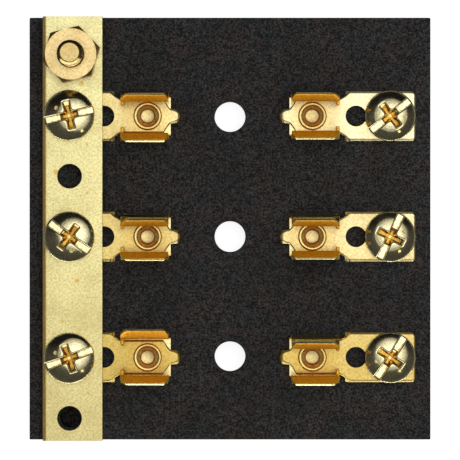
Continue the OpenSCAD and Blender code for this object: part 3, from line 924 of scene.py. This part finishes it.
slot_turn = {"bus_1": 193, "bus_2": -36, "bus_3": 200, "wire_1": 38, "wire_2": 64, "wire_3": 236}


def dome_height(radius):
    """The height of the head's dome at a distance from its axis."""
    return head_h - dome_r + math.sqrt(dome_r ** 2 - radius ** 2)


def grow(piece, other):
    """Joins another form, which reaches into the piece, to it."""
    take(piece)
    other.select_set(True)
    bpy.ops.object.join()


def threaded(name, radius, low, high, at=(0, 0)):
    """A threaded rod between two heights: a grid wound round the axis, one pitch higher after each turn."""
    rows = []
    angles = [(part, math.radians(360) * part / thread_parts) for part in range(thread_parts + 1)]
    for turn in range(-1, math.ceil((high - low) / thread_pitch) + 1):
        for rise, depth in thread_form:
            z, reach = low + (turn + rise) * thread_pitch, radius - depth * thread_depth
            rows.append([Vector((at[0] + reach * math.cos(angle), at[1] + reach * math.sin(angle),
                                 z + thread_pitch * part / thread_parts)) for part, angle in angles])
    piece = formed(name, rows)
    for height, away in ((low, -1), (high, 1)):
        edit_all()
        bpy.ops.mesh.bisect(plane_co=(0, 0, height), plane_no=(0, 0, away), use_fill=True, clear_outer=True)
        bpy.ops.object.mode_set(mode="OBJECT")
    return piece


def head_top(x, y):
    """Height of the head's top, with the slot along X. Edges fall in a quarter round and walls slope a bit."""
    top = dome_height(math.hypot(x, y))
    x, y = abs(x), abs(y)
    past_slot = y - slot_half
    past_wing = max(x - wing_half, y - cross_half)
    if x > wing_half and y > cross_half:
        past_wing = math.hypot(x - wing_half, y - cross_half)
    near = max(corner_round - abs(past_slot - past_wing), 0)
    past = min(past_slot, past_wing) - near * near / (4 * corner_round)
    if past > 0:
        return top - quarter(lip_round, lip_round - past)
    floor = cross_floor + cross_slope * max(max(x, y) - cross_core, 0)
    if past_slot < 0 and x > y:
        floor = min(floor, slot_floor)
    return min(max(floor, top - lip_round + wall_slope * past), top - lip_round)


def in_recess(vertex):
    """Whether a point of a screw lies in the cross recess, below its lip and off the slot's floor."""
    reach = math.hypot(vertex.co.x, vertex.co.y)
    in_cross = reach < cross_half and 0 < vertex.co.z < dome_height(reach) - lip_round - SMALL
    return in_cross and abs(vertex.co.z - slot_floor) >= SMALL


lines = [-mm for mm in reversed(head_lines[1:])] + head_lines
screw = grid_piece("screw", [[(x, y, head_top(x, y)) for x in lines] for y in lines])
draw_out((0, 0, -head_h))
bpy.ops.transform.resize(value=(1, 1, 0), center_override=(0, 0, -OVERCUT))
end_edit()
round_from = head_r - head_round
round_top = dome_height(round_from) + head_proud
profile = [(head_r - head_foot, 0), (head_r, head_foot)]
for part in range(head_round_parts + 1):
    angle = math.radians(head_round_step) * part
    radius = round_from + head_round * math.cos(angle)
    profile.append((radius, round_top - head_round_h * (1 - math.sin(angle))))
profile += head_cap
cut(screw, turned("head_form", profile, sides=head_parts), operation="INTERSECT")
dot_at = (dot_reach * math.cos(dot_angle), dot_reach * math.sin(dot_angle), dome_height(dot_reach) + dot_out)
let_go()
bpy.ops.mesh.primitive_uv_sphere_add(segments=24, ring_count=16, radius=dot_r, location=dot_at)
cut(screw, named("dot_punch"))
shade(screw, head_sharp)
rod = threaded("rod", screw_r, -screw_l, thread_in_head)
cut(rod, turned("tip_form", [
    (screw_r - screw_tip, -screw_l), (screw_r + OVERCUT, OVERCUT + screw_tip - screw_l),
    (screw_r + OVERCUT, OVERCUT)]), operation="INTERSECT")
grow(screw, rod)
mark_points(screw, "recess", in_recess)

bright_screw = (0.9, 0.82, 0.5, 1)
recess_painted_shade = (0.8, 0.6, 0.24, 1)
stained_screw = (0.66, 0.5, 0.2, 1)
screw_brass, tree, wear = brass(
    "screw_brass", bright_screw, stained_screw, stain_share=0.15, dullness=0.1, grain=0.3)
# Painted shade: the cross recess is painted darker and golden, for shade and light bounced between its walls.
join(tree, wear["Metal"], blend_colour(tree, marked_points(tree, "recess"), bright_screw, recess_painted_shade))
for side, row in WAYS:
    node = f"{side}_screw_{row}"
    low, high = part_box(node)
    at = (low + high) / 2
    piece = copy_of(screw, f"{side}_pan_screw_{row}")
    seat(piece, (at.x, at.y, low.z + screw_l), math.radians(slot_turn[f"{side}_{row}"]))
    fit(piece, node, node, screw_brass)
bpy.data.objects.remove(screw)

# Feed stud and nut
# A brass stud with a rolled thread stands through board, spacer and bar, its hexagonal head let into the back
# of the board. A chamfered hexagonal nut clamps the bar and takes the feed wire.
stud_low, stud_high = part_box("feed_stud")
nut_low, nut_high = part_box("feed_nut")
stud_r = 2 * MM
stud_head_r = 3.5 * MM * HEX_CORNER
stud_head_top = stud_low.z + 2.4 * MM
stud_ease = 0.06 * MM
stud_chamfer = 0.45 * MM
stud_point_l = 0.5 * MM
stud_point = (
    (1.92, -0.6), (1.92, -0.405), (1.84, -0.325), (1.74, -0.23), (1.64, -0.135), (1.57, -0.065), (1.46, 0),
    (1.36, 0))
thread_in_nut = 1 * MM
thread_low = nut_high.z - thread_in_nut
thread_high = stud_high.z - stud_point_l
thread_ease = 0.03 * MM
stud = turned("threaded_stud", [(stud_head_r, stud_low.z), (stud_head_r, stud_head_top)],
              stud_axis, sides=6, twist=QUARTER_TURN)
shank = turned("shank", [(stud_r, stud_low.z), (stud_r, thread_low + SMALL)], stud_axis)
cut(stud, shank, operation="UNION")
ease_edges(stud, stud_ease)
rod = threaded("rod", stud_r, thread_low, thread_high, stud_at)
cut(rod, turned("end_form", [
    (stud_r + OVERCUT, thread_low - OVERCUT), (stud_r + OVERCUT, thread_high - stud_chamfer - OVERCUT),
    (stud_r - stud_chamfer, thread_high)], stud_axis), operation="INTERSECT")
ease_edges(rod, thread_ease)
grow(stud, rod)
point_form = [(r * MM, z * MM) for r, z in stud_point]
point = turned("point", point_form, (stud_at.x, stud_at.y, stud_high.z - SMALL))
shade(point)
grow(stud, point)
dull_stud = (0.57, 0.43, 0.18, 1)
stained_stud = (0.5, 0.34, 0.12, 1)
stud_brass = brass("stud_brass", dull_stud, stained_stud, stain_share=0.4, dullness=0.2)[0]
fit(stud, "feed_stud", "block", stud_brass)

nut_r = nut_half * HEX_CORNER
nut_turn = math.radians(14) + QUARTER_TURN
nut_slope = math.radians(30)
nut_shoulder = nut_high.z - (nut_r - nut_half) * math.tan(nut_slope)
nut_bore_r = 2.05 * MM
nut_sink = 0.12 * MM
nut_ease = 0.07 * MM
nut_sharp = 25
nut = turned("hex_nut", [(nut_r, nut_low.z), (nut_r, nut_high.z)], stud_axis, sides=6, twist=nut_turn)
cut(nut, turned("cone", [
    (nut_r + OVERCUT, below), (nut_r + OVERCUT, nut_shoulder - SMALL), (nut_r, nut_shoulder),
    (nut_half, nut_high.z), (nut_half - SMALL, nut_high.z + OVERCUT)], stud_axis), operation="INTERSECT")
cut(nut, turned("tap", [
    (nut_bore_r, nut_low.z - OVERCUT), (nut_bore_r, nut_high.z - nut_sink),
    (nut_bore_r + 2 * nut_sink, nut_high.z + nut_sink)], stud_axis))
ease_edges(nut, nut_ease, sharp=nut_sharp)
fit(nut, "feed_nut", "feed_nut", nut_brass)

# Table, light and camera
# The block lies on a plain white table under a large soft light, with a long light low in front and a small
# warm one above it. The surroundings are dim, and the camera looks straight down.
table_size = 4
table_drop = 0.05 * MM
table_grey = (0.6, 0.6, 0.6, 1)
table_dullness = 0.8
table_glow = 0.85
let_go()
bpy.ops.mesh.primitive_plane_add(size=table_size, location=(0, 0, -table_drop))
table = named("table")
paper, tree, shader = new_material("table_paper")
for label, value in (("Base Color", table_grey), ("Roughness", table_dullness),
                     ("Emission Color", WHITE), ("Emission Strength", table_glow)):
    join(tree, shader.inputs[label], value)
table.data.materials.append(paper)
table.visible_glossy = False


def soft_light(name, at, towards, size, radiance, colour=(1, 1, 1), shape="RECTANGLE"):
    """A flat soft light of a size (across, along) and a brightness."""
    let_go()
    aim = Vector(towards) - Vector(at)
    bpy.ops.object.light_add(type="AREA", location=at, rotation=aim.to_track_quat("-Z", "Y").to_euler())
    light = bpy.context.object
    light.name = name
    light.data.shape = shape
    light.data.size, light.data.size_y = size
    area = size[0] * size[1] * (math.pi / 4 if shape == "ELLIPSE" else 1)
    light.data.energy = radiance * math.pi * area
    light.data.color = colour
    light.visible_camera = False


overhead_x, overhead_y, overhead_rise = 0.06, 0.045, 0.3
overhead_step = 0.005
overhead_sizes = (0.2, 0.3, 0.4, 0.5)
overhead_level = 0.4
front_at, front_towards, front_size, front_level = (0, -0.8, 0.1), (0, 0, 0.1), (2.6, 0.2), 3.2
warm_at, warm_size, warm_level, warm_colour = (0.311, -0.403, 0.55), (0.06, 0.06), 2.5, (1, 0.85, 0.4)
for step, size in enumerate(overhead_sizes):
    soft_light(f"overhead_light_{step}", (overhead_x, overhead_y, overhead_rise + overhead_step * step),
               (overhead_x, overhead_y, 0), (size, size), overhead_level, shape="ELLIPSE")
soft_light("front_light", front_at, front_towards, front_size, front_level)
soft_light("warm_light", warm_at, (0, 0, 0), warm_size, warm_level, warm_colour)

ground_level = 0.22
zenith_level = 0.2
sky_bands = ((-0.4, 0.2), (-0.12, 0.03), (0.1, 0.03), (0.16, 0.07), (0.6, 0.06), (0.8, 0.08))
back_level = 0.15
belt_level = 0.28
world = bpy.data.worlds.new("studio")
bpy.context.scene.world = world
world.use_nodes = True
tree = world.node_tree
way = add_node(tree, "ShaderNodeTexCoord").outputs["Generated"]
axes = add_node(tree, "ShaderNodeSeparateXYZ", {"Vector": way}).outputs
bands = add_node(tree, "ShaderNodeValToRGB", {"Fac": ramp(tree, axes["Z"], -1, 1)})
stops = bands.color_ramp.elements
stops[0].color = (ground_level, ground_level, ground_level, 1)
stops[1].color = (zenith_level, zenith_level, zenith_level, 1)
for height, level in sky_bands:
    stops.new((height + 1) / 2).color = (level, level, level, 1)
dusk = product(tree, bands.outputs["Color"], ramp(tree, axes["Y"], 0, 0.5, 1, back_level))
belt = product(tree, ramp(tree, axes["Z"], 0.16, 0.26, 0, belt_level), ramp(tree, axes["Z"], 0.4, 0.5, 1, 0))
background = tree.nodes["Background"].inputs
join(tree, background["Strength"], sum_of(tree, dusk, belt))
join(tree, background["Color"], WHITE)

camera_rise = 450 * MM
view_middle_y = -0.22 * MM
view_width = 72.84 * MM
film_width = 36
bpy.ops.object.camera_add(location=(0, view_middle_y, board_top + camera_rise), rotation=(0, 0, 0))
camera = bpy.context.object
camera.data.sensor_width = film_width
camera.data.lens = film_width * camera_rise / view_width
camera.data.clip_end = 10
bpy.context.scene.camera = camera
bpy.context.scene.view_settings.view_transform = "Standard"
